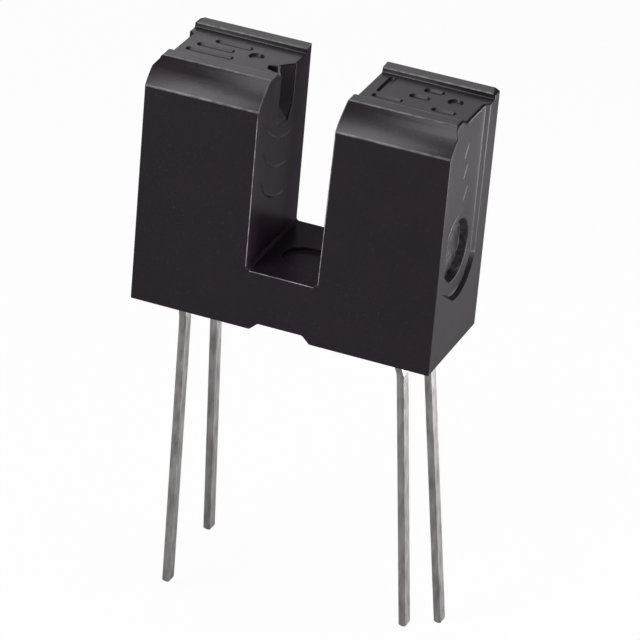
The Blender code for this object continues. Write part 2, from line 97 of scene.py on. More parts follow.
# Tower top, from back to front: lip, sunk label flat, ridge and sloping shoulder
LIP_THICKNESS = 0.475 * MM
LIP_FALL = 0.058 * MM
LIP_END_WIDTH = 0.2 * MM
LIP_END_HEIGHT = 0.1 * MM
LABEL_FLAT_Z = 9.45 * MM
RIDGE_BACK_Y = -0.45 * MM
RIDGE_TOP_Y = -0.86 * MM
RIDGE_FRONT_Y = -1.42 * MM
RIDGE_RISE = 0.22 * MM
RIDGE_FALL = 0.01 * MM
SHOULDER_DROP = 0.91 * MM
SHOULDER_TOP_RUN = 0.44 * MM
SHOULDER_TOP_FALL = 0.25 * MM
SHOULDER_FOOT_RUN = 0.16 * MM
SHOULDER_FOOT_RISE = 0.27 * MM
SHOULDER_STEPS = 20

# Outer side of each tower: sunk panel with a round lower end, and a round recess in it
PANEL_DEPTH = 0.16 * MM
PANEL_BEVEL = 0.12 * MM
PANEL_BACK_Y = 1.5 * MM
PANEL_FRONT_Y = -1.86 * MM
PANEL_FRONT_BEVEL = 0.29 * MM
PANEL_ARC_RADIUS = 1.653 * MM
PANEL_ARC_Y = -0.107 * MM
PANEL_ARC_Z = 3.884 * MM
PANEL_ARC_START = 253.0
PANEL_ARC_STEPS = 40
PANEL_CORNER_SLOPE = 0.63
RECESS_RADIUS = 1.2 * MM
RECESS_DEPTH = 0.35 * MM
RECESS_Y = -0.25 * MM
RECESS_Z = 4.21 * MM
RECESS_LUMP = 0.05 * MM
RECESS_LUMPS_PER_MM = 1.7
RECESS_RINGS = (0.05, 0.2, 0.4, 0.6, 0.78, 0.92, 1.0)
RECESS_STEPS = 48

# Faint ring round the upper front of the recess, with its start and span in degrees
RING_RADIUS = 1.42 * MM
RING_WIDTH = 0.045 * MM
RING_DEPTH = 0.035 * MM
RING_LIFT = 0.01 * MM
RING_START = 42.0
RING_SPAN = 104.0
RING_STEPS = 32

# Slot side of the emitter tower: a groove that opens at the top, and a pit beside it
GROOVE_DEPTH = 0.45 * MM
GROOVE_FRONT_Y = -0.55 * MM
GROOVE_APEX_Y = 0.45 * MM
GROOVE_BACK_Y = 0.95 * MM
GROOVE_FULL_Z = 7.95 * MM
GROOVE_END_Z = 7.3 * MM
GROOVE_MOUTH = 0.1 * MM
GROOVE_RUNOUT = 0.05 * MM
PIT_START = 0.42 * MM
PIT_LENGTH = 0.62 * MM
PIT_WIDTH = 0.3 * MM
PIT_BULGE = 0.345 * MM
PIT_DEPTH = 0.45 * MM
PIT_WALL = 0.1 * MM

# Shallow round recess in the slot floor
FLOOR_RECESS_RADIUS = 0.85 * MM
FLOOR_RECESS_DEPTH = 0.15 * MM
FLOOR_RECESS_Y = -0.35 * MM
FLOOR_RECESS_STEPS = 56

# Flow marks on the slot side of the emitter tower: low crescents, given by the lower ends of their
# arcs, with the start and span in degrees
FLOW_MARK_Y = 0.7 * MM
FLOW_MARK_RADIUS = 3.2 * MM
FLOW_MARK_BOTTOMS = (6.66 * MM, 5.5 * MM, 4.27 * MM)
FLOW_MARK_WIDTH = 0.6 * MM
FLOW_MARK_RIM = 0.12 * MM
FLOW_MARK_HEIGHT = 0.045 * MM
FLOW_MARK_SINK = 0.02 * MM
FLOW_MARK_START = 215.0
FLOW_MARK_SPAN = 67.0
FLOW_MARK_STEPS = 24

# Generic sunk marks on the tower tops and on the sensor side. A bar is its middle, length and width
# in millimetres and its turn in degrees, and a dimple is its middle and radius in millimetres
MARK_DEPTH = 0.09 * MM
SIDE_MARK_DEPTH = 0.025 * MM
MARK_SLOPE = 0.08 * MM
BAR_ROUNDING = 0.9
DIMPLE_STEPS = 32
TOP_BARS = (
    (-4.05, 1.2, 1.5, 0.34, 0),
    (-4.55, 0.62, 1.5, 0.34, 0),
    (-4.55, 0.04, 1.9, 0.34, 0),
    (2.1, 1.0, 0.3, 1.5, 0),
    (2.55, -0.08, 1.2, 0.34, 0),
    (3.85, 1.35, 0.8, 0.4, 0),
    (3.55, 0.62, 0.8, 0.4, 0),
    (4.75, -0.08, 0.95, 0.34, 0),
)
TOP_DIMPLES = ((-2.95, 0.72, 0.3), (4.85, 0.9, 0.3))
SIDE_BARS = ((-0.2, 8.2, 0.26, 0.72, -35), (-0.1, 7.35, 0.26, 0.72, -35), (0.1, 6.4, 0.26, 0.72, -35))

# Pocket in each tower, open at the bottom
POCKET_WIDTH = 2.84 * MM
POCKET_DEPTH = 3.9 * MM
POCKET_TOP_Z = 8.35 * MM
POCKET_RADIUS = 0.25 * MM
POCKET_CORNER_STEPS = 6

# Values that follow from the ones above
RIDGE_Z = LABEL_FLAT_Z + RIDGE_RISE
SHOULDER_Z = RIDGE_Z - SHOULDER_DROP
SLOT_LOW_X = SLOT_SHIFT - SLOT_WIDTH / 2
SLOT_HIGH_X = SLOT_SHIFT + SLOT_WIDTH / 2
PANEL_X = BODY_WIDTH / 2 - PANEL_DEPTH
WEAR_AND_HIGHLIGHT_REACH = BODY_WIDTH / 2 - WEAR_AND_HIGHLIGHT_MARGIN
TOWER_X = (BODY_WIDTH + SLOT_WIDTH) / 4
POCKET_INNER_X = TOWER_X - POCKET_WIDTH / 2
POCKET_OUTER_X = TOWER_X + POCKET_WIDTH / 2

# Parts of the housing whose colour or shine differs, as low and high corners of boxes. The boxes of the slot
# and the groove carry painted light, the box at the slot's front edges a painted highlight, and the recess
# box a greyer floor.
MASK_MARGIN = 0.1 * MM
RECESS_SKIN_DROP = 0.03 * MM
SLOT_FRONT_REACH = 0.15 * MM
SLOT_FRONT_TOP_Z = 8.55 * MM
SLOT_LOW = (SLOT_LOW_X - SLOT_FILLET / 4, FRONT_Y, SLOT_FLOOR_Z)
SLOT_HIGH = (SLOT_HIGH_X, BACK_Y - EDGE_RADIUS, BODY_HEIGHT)
SLOT_FLOOR_LOW = (SLOT_LOW_X, FRONT_Y, SLOT_FLOOR_Z - FLOOR_RECESS_DEPTH - SLOT_FILLET)
SLOT_FLOOR_HIGH = (SLOT_HIGH_X, BACK_Y, SLOT_FLOOR_Z + SLOT_FILLET / 2)
SLOT_FRONT_LOW = (SLOT_LOW_X - MASK_MARGIN, FRONT_Y - MASK_MARGIN, SLOT_FLOOR_Z - MASK_MARGIN)
SLOT_FRONT_HIGH = (SLOT_HIGH_X + MASK_MARGIN, FRONT_Y + SLOT_FRONT_REACH, SLOT_FRONT_TOP_Z)
GROOVE_LOW = (SLOT_LOW_X - GROOVE_DEPTH - EDGE_RADIUS, GROOVE_FRONT_Y, GROOVE_END_Z)
GROOVE_HIGH = (SLOT_LOW_X - EDGE_RADIUS / 2, GROOVE_BACK_Y, LABEL_FLAT_Z - EDGE_RADIUS)
RECESS_LOW = (PANEL_X - RECESS_DEPTH - MASK_MARGIN, RECESS_Y - RECESS_RADIUS, RECESS_Z - RECESS_RADIUS)
RECESS_HIGH = (PANEL_X - RECESS_SKIN_DROP, RECESS_Y + RECESS_RADIUS, RECESS_Z + RECESS_RADIUS)

# Where the painted light in the slot and the slot's dullness start and stop changing along its depth
SLOT_FADE_FRONT_Y = -1.5 * MM
SLOT_FADE_BACK_Y = 1.2 * MM

# How far the cutters reach past the housing, and the steps in the corners of the slot and the bars
PAST = 1.0 * MM
CORNER_STEPS = 5

# Camera, fitted to the housing's outlines and edges in the photograph
CAMERA_AZIMUTH = math.radians(20.041)
CAMERA_ELEVATION = math.radians(27.313)
CAMERA_ROLL = math.radians(5.213)
CAMERA_DISTANCE = 158.37 * MM
CAMERA_TARGET = Vector((0.72, 0.0, -0.187)) * MM
CAMERA_LENS = 238.01
CAMERA_SENSOR = 36.0
CAMERA_CLIP = (0.01, 10.0)

# Colours of the black moulding
PLASTIC_DARK = (0.0155, 0.009, 0.0165, 1.0)
PLASTIC_LIGHT = (0.0215, 0.013, 0.0225, 1.0)
PLASTIC_SPECK = (0.05, 0.04, 0.052, 1.0)
# Painted light in the groove on the slot side of the emitter tower
GROOVE_PAINTED_LIGHT = (0.085, 0.066, 0.088, 1.0)
# Painted light in the slot, which fades towards the slot's back
SLOT_PAINTED_LIGHT = (0.07, 0.042, 0.074, 1.0)
RECESS_SKIN = (0.11, 0.10, 0.11, 1.0)
# Pale edge colours: wear and painted highlight on the rounded edges, and a paler painted highlight on the
# front edges of the slot
PALE_EDGE_WEAR_AND_HIGHLIGHT = (0.2, 0.185, 0.2, 1.0)
SLOT_FRONT_PAINTED_HIGHLIGHT = (0.62, 0.59, 0.62, 1.0)

# Colours of the tin on the leads, and the rounding of their edges
TIN_DULL = (0.42, 0.39, 0.40, 1.0)
TIN_BRIGHT = (0.84, 0.81, 0.81, 1.0)
TIN_STREAK = (0.72, 0.7, 0.69, 1.0)
LEAD_EDGE_RADIUS = 0.02 * MM
LEAD_EDGE_STEPS = 2
LEAD_EDGE_ANGLE = 30

# Floor, just under the lowest lead tip, and how bright it and the studio are
FLOOR_Z = CAD_BOX[0].z
FLOOR_SIZE = 1.6
FLOOR_DARK = (0.29, 0.29, 0.29, 1.0)
FLOOR_LIGHT = (0.31, 0.31, 0.31, 1.0)
FLOOR_GLOW = 1.09
FLOOR_CAMERA_SHARE = 0.88
STUDIO_LEVEL = 0.06

# Softboxes round the object, aimed at its middle: azimuth and elevation in degrees, size in
# millimetres and radiance
MIDDLE = (0, 0, 4)
LIGHT_DISTANCE = 120.0
ROUND_LIGHTS = {
    "key": (330, 45, 60, 3.8),
    "key_low": (330, 18, 60, 4.2),
    "top": (0, 86, 60, 3.2),
    "back_high": (199, 50, 50, 1.5),
    "back_low": (200, 27, 50, 0.5),
    "back_left": (215, 27, 50, 0.65),
}

# Low softboxes beside the leads, aimed at the foot of the sensor tower: place, width and height in
# millimetres and radiance
FOOT = (2, 0, -2)
SIDE_LIGHTS = {
    "side_front": ((48, -15, -6), 50, 26, 2.7),
    "side": ((50, 0, -6), 30, 26, 2.2),
    "side_back": ((45, 25, -6), 44, 26, 5.8),
}


def finish_mesh(name, bm):
    """Turns a bmesh into an object with its faces pointing out."""
    bmesh.ops.remove_doubles(bm, verts=bm.verts, dist=1e-8)
    bmesh.ops.recalc_face_normals(bm, faces=bm.faces)
    mesh = bpy.data.meshes.new(name)
    bm.to_mesh(mesh)
    bm.free()
    obj = bpy.data.objects.new(name, mesh)
    bpy.context.scene.collection.objects.link(obj)
    return obj


def loft(name, rings):
    """Closed solid through rings that have the same number of points."""
    bm = bmesh.new()
    loops = [[bm.verts.new(point) for point in ring] for ring in rings]
    count = len(rings[0])
    for low, high in zip(loops, loops[1:]):
        for i in range(count):
            j = (i + 1) % count
            bm.faces.new((low[i], low[j], high[j], high[i]))
    bm.faces.new(loops[0])
    bm.faces.new(loops[-1])
    return finish_mesh(name, bm)


def in_space(axis, a, b, along):
    """Point along an axis. Axis X takes (y, z) as a and b, Y takes (x, z) and Z takes (x, y)."""
    return {"X": (along, a, b), "Y": (a, along, b), "Z": (a, b, along)}[axis]


def prism(name, outline, axis, low, high):
    """Extrudes a closed outline along an axis."""
    return loft(name, [[in_space(axis, a, b, along) for a, b in outline] for along in (low, high)])


def arc(centre, radius, start, end, steps):
    """Points on a circle from one angle to another, in degrees."""
    angles = [math.radians(start + (end - start) * i / steps) for i in range(steps + 1)]
    return [(centre[0] + radius * math.cos(a), centre[1] + radius * math.sin(a)) for a in angles]


def circle(centre, radius, steps):
    """Closed circle without its last point, which would lie on the first."""
    return arc(centre, radius, 0, 360, steps)[:-1]


def bezier(points, steps):
    """Points on a cubic curve that four points control."""
    p0, p1, p2, p3 = (Vector(p) for p in points)
    result = []
    for i in range(steps + 1):
        t = i / steps
        u = 1 - t
        result.append(tuple(p0 * u ** 3 + p1 * 3 * u * u * t + p2 * 3 * u * t * t + p3 * t ** 3))
    return result


def round_rectangle(x_low, x_high, y_low, y_high, radius, steps):
    """Rectangle with round corners."""
    corners = [
        ((x_high - radius, y_high - radius), 0),
        ((x_low + radius, y_high - radius), 90),
        ((x_low + radius, y_low + radius), 180),
        ((x_high - radius, y_low + radius), 270),
    ]
    outline = []
    for centre, start in corners:
        outline += arc(centre, radius, start, start + 90, steps)
    return outline


def mirrored(outline, side):
    """Outline of (x, y) or (x, z) points on the emitter side (-1) or the sensor side (1)."""
    return [(side * a, b) for a, b in outline]


def bake(obj):
    """Replaces an object's mesh with the one that its modifiers give."""
    bpy.context.view_layer.update()
    depsgraph = bpy.context.evaluated_depsgraph_get()
    mesh = bpy.data.meshes.new_from_object(obj.evaluated_get(depsgraph))
    obj.modifiers.clear()
    obj.data = mesh


def cut(obj, tools, operation="DIFFERENCE"):
    """Cuts the tools out of an object, or joins them to it, one after the other and removes them."""
    for tool in tools:
        modifier = obj.modifiers.new(tool.name, "BOOLEAN")
        modifier.operation = operation
        modifier.solver = "EXACT"
        modifier.object = tool
    bake(obj)
    for tool in tools:
        bpy.data.objects.remove(tool, do_unlink=True)


def tower_profile():
    """Side profile of the housing in Y and Z, the whole way round."""
    lip_front_y = BACK_Y - LIP_THICKNESS
    ridge_front_z = RIDGE_Z - RIDGE_FALL
    shoulder = bezier(
        [
            (RIDGE_FRONT_Y, ridge_front_z),
            (RIDGE_FRONT_Y - SHOULDER_TOP_RUN, ridge_front_z - SHOULDER_TOP_FALL),
            (FRONT_Y + SHOULDER_FOOT_RUN, SHOULDER_Z + SHOULDER_FOOT_RISE),
            (FRONT_Y, SHOULDER_Z),
        ],
        SHOULDER_STEPS,
    )
    top = [
        (BACK_Y, 0.0),
        (BACK_Y, BODY_HEIGHT),
        (lip_front_y, BODY_HEIGHT - LIP_FALL),
        (lip_front_y, LABEL_FLAT_Z),
        (RIDGE_BACK_Y, LABEL_FLAT_Z),
        (RIDGE_TOP_Y, RIDGE_Z),
    ]
    return top + shoulder + [(FRONT_Y, 0.0)]


def panel_outline(inset, front_y):
    """Straight back, a round lower end that meets it at an angle, a slanted corner and a straight front."""
    radius = PANEL_ARC_RADIUS - inset
    back_y = PANEL_BACK_Y - inset
    top_z = BODY_HEIGHT + PAST
    reach = math.degrees(math.acos((back_y - PANEL_ARC_Y) / radius))
    round_end = arc((PANEL_ARC_Y, PANEL_ARC_Z), radius, PANEL_ARC_START, 360 - reach, PANEL_ARC_STEPS)
    start_y, start_z = round_end[0]
    corner_z = start_z + PANEL_CORNER_SLOPE * (start_y - front_y)
    return [(front_y, top_z), (front_y, corner_z)] + round_end + [(back_y, top_z)]


def side_panel_tools(side):
    """Cutters of the sunk panel and of the lumpy round recess on the outer side of a tower."""
    face_x = side * BODY_WIDTH / 2
    floor_x = side * PANEL_X
    past_x = side * (BODY_WIDTH / 2 + PAST)
    face = panel_outline(0.0, PANEL_FRONT_Y)
    floor = panel_outline(PANEL_BEVEL, PANEL_FRONT_Y + PANEL_FRONT_BEVEL)
    rings = [[(x, y, z) for y, z in ring] for x, ring in ((floor_x, floor), (face_x, face), (past_x, face))]
    panel = loft("panel_tool_%d" % side, rings)
    rings = []
    for share in RECESS_RINGS:
        ring = []
        for y, z in circle((RECESS_Y, RECESS_Z), RECESS_RADIUS * share, RECESS_STEPS):
            lump = RECESS_LUMP * noise.noise(Vector((side, y / MM, z / MM)) * RECESS_LUMPS_PER_MM)
            ring.append((floor_x - side * (RECESS_DEPTH + lump), y, z))
        rings.append(ring)
    rings.append([(past_x, y, z) for x, y, z in rings[-1]])
    return [panel, loft("recess_tool_%d" % side, rings)]


def ring_tool(side):
    """Faint groove round the upper front of the recess, which fades at both ends."""
    rings = []
    for step in range(RING_STEPS + 1):
        share = step / RING_STEPS
        angle = math.radians(RING_START + RING_SPAN * share)
        depth = RING_DEPTH * math.sin(math.pi * share) ** 0.5
        ring = []
        for out, lift in ((-RING_WIDTH, RING_LIFT), (0.0, -depth), (RING_WIDTH, RING_LIFT)):
            y = RECESS_Y + (RING_RADIUS + out) * math.cos(angle)
            z = RECESS_Z + (RING_RADIUS + out) * math.sin(angle)
            ring.append((side * (PANEL_X + lift), y, z))
        rings.append(ring)
    return loft("ring_tool_%d" % side, rings)


def slot_tool():
    """Slot with the draft of its sensor side and small fillets along the floor."""
    top_z = BODY_HEIGHT + PAST
    fillet_z = SLOT_FLOOR_Z + SLOT_FILLET
    slope = SLOT_DRAFT / (BODY_HEIGHT - SLOT_FLOOR_Z)
    left = arc((SLOT_LOW_X + SLOT_FILLET, fillet_z), SLOT_FILLET, 180, 270, CORNER_STEPS)
    right_x = SLOT_HIGH_X - SLOT_DRAFT - SLOT_FILLET
    right = arc((right_x, fillet_z), SLOT_FILLET, 270, 360, CORNER_STEPS)
    top = [(SLOT_HIGH_X + slope * PAST, top_z), (SLOT_LOW_X, top_z)]
    return prism("slot_tool", left + right + top, "Y", FRONT_Y - PAST, BACK_Y + PAST)


def relief_tool():
    """Shallow relief under the slot, which leaves a foot below each tower."""
    half = STANDOFF_GAP / 2
    shelf = half - STANDOFF_RAMP
    past = half + STANDOFF_RAMP / STANDOFF_HEIGHT * PAST
    outline = [
        (SLOT_SHIFT - shelf, STANDOFF_HEIGHT),
        (SLOT_SHIFT + shelf, STANDOFF_HEIGHT),
        (SLOT_SHIFT + past, -PAST),
        (SLOT_SHIFT - past, -PAST),
    ]
    return prism("relief_tool", outline, "Y", FRONT_Y - PAST, BACK_Y + PAST)


def groove_tool():
    """Three-sided groove in the slot side of the emitter tower, which runs out at its lower end."""
    mouth_x = SLOT_LOW_X + GROOVE_MOUTH
    rings = []
    top_z = BODY_HEIGHT + PAST
    for z, depth in ((GROOVE_END_Z, -GROOVE_RUNOUT), (GROOVE_FULL_Z, GROOVE_DEPTH), (top_z, GROOVE_DEPTH)):
        outline = [
            (SLOT_LOW_X + PAST, GROOVE_FRONT_Y),
            (mouth_x, GROOVE_FRONT_Y - GROOVE_MOUTH),
            (SLOT_LOW_X - depth, GROOVE_APEX_Y),
            (mouth_x, GROOVE_BACK_Y + GROOVE_MOUTH),
            (SLOT_LOW_X + PAST, GROOVE_BACK_Y),
        ]
        rings.append([(x, y, z) for x, y in outline])
    return loft("groove_tool", rings)


def pit_tool():
    """Small pit in the tower top, which leaves a thin wall along the groove's front flank."""
    flank = Vector((-GROOVE_DEPTH, GROOVE_APEX_Y - GROOVE_FRONT_Y)).normalized()
    out = Vector((-flank.y, flank.x))
    start = Vector((SLOT_LOW_X, GROOVE_FRONT_Y)) + flank * PIT_START + out * PIT_WALL
    middle = start + flank * PIT_LENGTH / 2
    end = start + flank * PIT_LENGTH
    corners = [start, end, end + out * PIT_WIDTH, middle + out * PIT_BULGE]
    return prism("pit_tool", [tuple(p) for p in corners], "Z", LABEL_FLAT_Z - PIT_DEPTH, BODY_HEIGHT + PAST)


def pocket_tool(side):
    """Pocket of a tower, which opens at the underside."""
    half = POCKET_DEPTH / 2
    place = (POCKET_INNER_X, POCKET_OUTER_X, -half, half)
    outline = round_rectangle(*place, POCKET_RADIUS, POCKET_CORNER_STEPS)
    return prism("pocket_tool_%d" % side, mirrored(outline, side), "Z", -PAST, POCKET_TOP_Z)


def floor_recess_tool():
    """Shallow round recess in the slot floor."""
    outline = circle((SLOT_SHIFT, FLOOR_RECESS_Y), FLOOR_RECESS_RADIUS, FLOOR_RECESS_STEPS)
    return prism("floor_recess_tool", outline, "Z", SLOT_FLOOR_Z - FLOOR_RECESS_DEPTH, SLOT_FLOOR_Z + PAST)


def lip_end_tool(side):
    """Wedge that cuts the outer top corner of the lip."""
    half = BODY_WIDTH / 2
    start_y = BACK_Y - LIP_THICKNESS - PAST / 10
    rise = LIP_END_HEIGHT / LIP_END_WIDTH
    outline = [
        (half + PAST, BODY_HEIGHT - LIP_END_HEIGHT - rise * PAST),
        (half + PAST, BODY_HEIGHT + rise * PAST),
        (half - LIP_END_WIDTH - PAST, BODY_HEIGHT + rise * PAST),
    ]
    return prism("lip_end_tool_%d" % side, mirrored(outline, side), "Y", start_y, BACK_Y + PAST)


def sunk_mark(name, outline, inner, axis, level):
    """Mark with sloped sides. The axis is Z for the tower top and X for the outer side."""
    depth = {"Z": MARK_DEPTH, "X": SIDE_MARK_DEPTH}[axis]
    outer = [(2 * a - c, 2 * b - d) for (a, b), (c, d) in zip(outline, inner)]
    levels = ((inner, level - depth), (outer, level + depth))
    return loft(name, [[in_space(axis, a, b, along) for a, b in ring] for ring, along in levels])


def bar_tool(name, values, axis, level):
    """Bar with round ends."""
    a, b, length, width = (v * MM for v in values[:4])
    turn = Matrix.Rotation(math.radians(values[4]), 2)

    def border(shrink):
        """Outline of the bar, made smaller all round."""
        half_a = length / 2 - shrink
        half_b = width / 2 - shrink
        radius = BAR_ROUNDING * min(half_a, half_b)
        strip = round_rectangle(-half_a, half_a, -half_b, half_b, radius, CORNER_STEPS)
        return [tuple(turn @ Vector(p) + Vector((a, b))) for p in strip]

    return sunk_mark(name, border(0.0), border(MARK_SLOPE), axis, level)


def dimple_tool(name, values):
    """Round dimple in a tower top."""
    a, b, radius = (v * MM for v in values)
    rings = [circle((a, b), r, DIMPLE_STEPS) for r in (radius, radius - MARK_SLOPE)]
    return sunk_mark(name, *rings, "Z", LABEL_FLAT_Z)


def mark_tools():
    """Plain bars and dimples where the moulded marks are."""
    tools = [bar_tool("top_bar_%d" % i, v, "Z", LABEL_FLAT_Z) for i, v in enumerate(TOP_BARS)]
    tools += [bar_tool("side_bar_%d" % i, v, "X", PANEL_X) for i, v in enumerate(SIDE_BARS)]
    tools += [dimple_tool("top_dimple_%d" % i, v) for i, v in enumerate(TOP_DIMPLES)]
    return tools


def flow_marks():
    """Three low crescents on the slot wall, each with a soft upper side and a steeper lower rim."""
    marks = []
    for i, bottom in enumerate(FLOW_MARK_BOTTOMS):
        centre_z = bottom + FLOW_MARK_RADIUS
        rings = []
        for step in range(FLOW_MARK_STEPS + 1):
            share = step / FLOW_MARK_STEPS
            height = FLOW_MARK_HEIGHT * math.sin(math.pi * share) ** 0.6
            angle = math.radians(FLOW_MARK_START + FLOW_MARK_SPAN * share)
            rim = (
                (FLOW_MARK_RADIUS, -FLOW_MARK_SINK),
                (FLOW_MARK_RADIUS - FLOW_MARK_RIM, height - 0.2 * FLOW_MARK_SINK),
                (FLOW_MARK_RADIUS - FLOW_MARK_WIDTH, -FLOW_MARK_SINK),
            )
            across = math.cos(angle)
            up = math.sin(angle)
            rings.append([(SLOT_LOW_X + x, FLOW_MARK_Y + r * across, centre_z + r * up) for r, x in rim])
        marks.append(loft("flow_mark_%d" % i, rings))
    return marks


def weigh_edges(bm):
    """Marks the sharp edges for the bevel. The tower tops' outer rims get a larger one, the panels' none."""
    weight = bm.edges.layers.float.new("bevel_weight_edge")
    recess = Vector((RECESS_Y, RECESS_Z))
    for edge in bm.edges:
        if not edge.is_manifold or edge.calc_face_angle() < math.radians(EDGE_ANGLE):
            continue
        places = [v.co for v in edge.verts]
        outer = all(abs(p.x) > PANEL_X - HAIR for p in places)
        at_panel = all(abs(p.x) < PANEL_X + HAIR for p in places)
        on_top = all(p.z > SHOULDER_Z and p.y > RIDGE_FRONT_Y for p in places)
        in_panel = all(PANEL_FRONT_Y - NEAR < p.y < PANEL_BACK_Y + NEAR for p in places)
        low = all(STANDOFF_HEIGHT < p.z < SHOULDER_Z for p in places)
        near_recess = all((p.yz - recess).length < RECESS_RADIUS + NEAR for p in places)
        if outer and on_top and at_panel:
            edge[weight] = 1.0
        elif not (outer and in_panel and low) or near_recess:
            edge[weight] = EDGE_RADIUS / RIM_RADIUS


def round_edges(obj):
    """Rounds the sharp edges as a mould does. The rounded faces take the second material."""
    bm = bmesh.new()
    bm.from_mesh(obj.data)
    bmesh.ops.remove_doubles(bm, verts=bm.verts, dist=SHORTEST_EDGE)
    bmesh.ops.dissolve_limit(bm, angle_limit=math.radians(FLAT_ANGLE), verts=bm.verts, edges=bm.edges)
    weigh_edges(bm)
    bm.to_mesh(obj.data)
    bm.free()
    bevel = obj.modifiers.new("edges", "BEVEL")
    bevel.width = RIM_RADIUS
    bevel.segments = EDGE_STEPS
    bevel.limit_method = "WEIGHT"
    bevel.miter_outer = "MITER_ARC"
    bevel.use_clamp_overlap = False
    bevel.material = 1
    bake(obj)


def choose_worn_and_highlit_edges(obj):
    """Keeps the second material, pale wear with a painted highlight, on the raised edges away from the outer
    sides only.
    """
    bm = bmesh.new()
    bm.from_mesh(obj.data)
    bm.normal_update()
    for face in bm.faces:
        folds = [e for e in face.edges if e.is_manifold and e.calc_face_angle() > math.radians(FOLD_ANGLE)]
        raised = all(e.is_convex for e in folds)
        middle = face.calc_center_median()
        at_front = middle.y < FRONT_Y + 2 * EDGE_RADIUS
        lowest = SLOT_FLOOR_Z - EDGE_RADIUS if at_front else SLOT_FLOOR_Z + EDGE_RADIUS
        inward = abs(middle.x) < WEAR_AND_HIGHLIGHT_REACH and middle.z > lowest
        if face.material_index == 1 and not (raised and inward):
            face.material_index = 0
    bm.to_mesh(obj.data)
    bm.free()


def smooth(obj):
    """Smooth shading that keeps the large faces flat and the marks crisp."""
    obj.data.shade_smooth()
    obj.data.set_sharp_from_angle(angle=math.radians(SHARP_ANGLE))
    normals = obj.modifiers.new("normals", "WEIGHTED_NORMAL")
    normals.mode = "FACE_AREA"
    normals.weight = 50
    normals.keep_sharp = True
    bake(obj)


def build_housing():
    """The housing again, with finer curves and real edge radii than the CAD solid needs."""
    half = BODY_WIDTH / 2
    housing = prism("housing_moulding", tower_profile(), "X", -half, half)
    tools = [slot_tool(), relief_tool(), floor_recess_tool()]
    tools += [groove_tool(), pit_tool()]
    for side in (-1, 1):
        tools += side_panel_tools(side)
        tools += [pocket_tool(side), lip_end_tool(side), ring_tool(side)]
    cut(housing, tools)
    cut(housing, flow_marks(), "UNION")
    housing.data.materials.append(black_plastic("black_moulding", 0.0))
    # Second material, for the rounded edges: pale wear and painted highlight
    housing.data.materials.append(black_plastic("black_moulding_edges", 1.0))
    round_edges(housing)
    choose_worn_and_highlit_edges(housing)
    cut(housing, mark_tools())
    smooth(housing)
    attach(housing, "root")
    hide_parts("housing")


class Nodes:
    """Short way to write a material's node tree."""

    def __init__(self, material):
        material.use_nodes = True
        self.tree = material.node_tree
        self.shader = self.tree.nodes["Principled BSDF"]

    def add(self, kind, settings=None, **inputs):
        """New node with its settings, and its inputs by name, with _ for each space."""
        node = self.tree.nodes.new(kind)
        for name, value in (settings or {}).items():
            setattr(node, name, value)
        for name, value in inputs.items():
            self.put(node.inputs[name.replace("_", " ")], value)
        return node

    def put(self, socket, value):
        """Links an output to a socket, or sets the socket to a plain value."""
        if isinstance(value, bpy.types.NodeSocket):
            self.tree.links.new(value, socket)
        else:
            socket.default_value = value

    def noise(self, scale, detail=4.0, stretch=(1.0, 1.0, 1.0)):
        """Noise in object space. The scale is a number of features in a millimetre."""
        place = self.add("ShaderNodeTexCoord").outputs["Object"]
        size = tuple(scale / MM * s for s in stretch)
        mapping = self.add("ShaderNodeMapping", Vector=place, Scale=size)
        return self.add("ShaderNodeTexNoise", Vector=mapping.outputs[0], Scale=1.0, Detail=detail).outputs[0]

    def span(self, value, low, high, out_low, out_high):
        """Maps a value from one range to another."""
        node = self.add("ShaderNodeMapRange", Value=value)
        ends = {"From Min": low, "From Max": high, "To Min": out_low, "To Max": out_high}
        for name, number in ends.items():
            node.inputs[name].default_value = number
        return node.outputs[0]

    def mix(self, factor, first, second):
        """Colour between two others."""
        node = self.add("ShaderNodeMix", {"data_type": "RGBA"})
        self.put(node.inputs[0], factor)
        self.put(node.inputs[6], first)
        self.put(node.inputs[7], second)
        return node.outputs[2]

    def calculate(self, operation, *values):
        """Result of one sum, step or comparison."""
        node = self.add("ShaderNodeMath", {"operation": operation})
        for socket, value in zip(node.inputs, values):
            self.put(socket, value)
        return node.outputs[0]

    def multiply(self, first, second):
        """Product of two values, also of two masks."""
        return self.calculate("MULTIPLY", first, second)

    def axes(self):
        """The X, Y and Z of the place in object space."""
        place = self.add("ShaderNodeTexCoord").outputs["Object"]
        return self.add("ShaderNodeSeparateXYZ", Vector=place).outputs

    def box_mask(self, low, high, both_sides=False):
        """1 inside a box in object space and 0 outside it, and in its mirror image across X if asked."""
        x, y, z = self.axes()
        if both_sides:
            x = self.calculate("ABSOLUTE", x)
        shares = [self.calculate("GREATER_THAN", value, limit) for value, limit in zip((x, y, z), low)]
        shares += [self.calculate("LESS_THAN", value, limit) for value, limit in zip((x, y, z), high)]
        return reduce(self.multiply, shares)

    def bump(self, height, distance, strength=1.0, normal=None):
        """Normal of a fine relief, on top of another one if given."""
        node = self.add("ShaderNodeBump", Height=height, Strength=strength)
        node.inputs["Distance"].default_value = distance
        if normal is not None:
            self.put(node.inputs["Normal"], normal)
        return node.outputs[0]


def slot_fade(n, front, back):
    """Value that changes along the depth of the slot."""
    return n.span(n.axes()["Y"], SLOT_FADE_FRONT_Y, SLOT_FADE_BACK_Y, front, back)


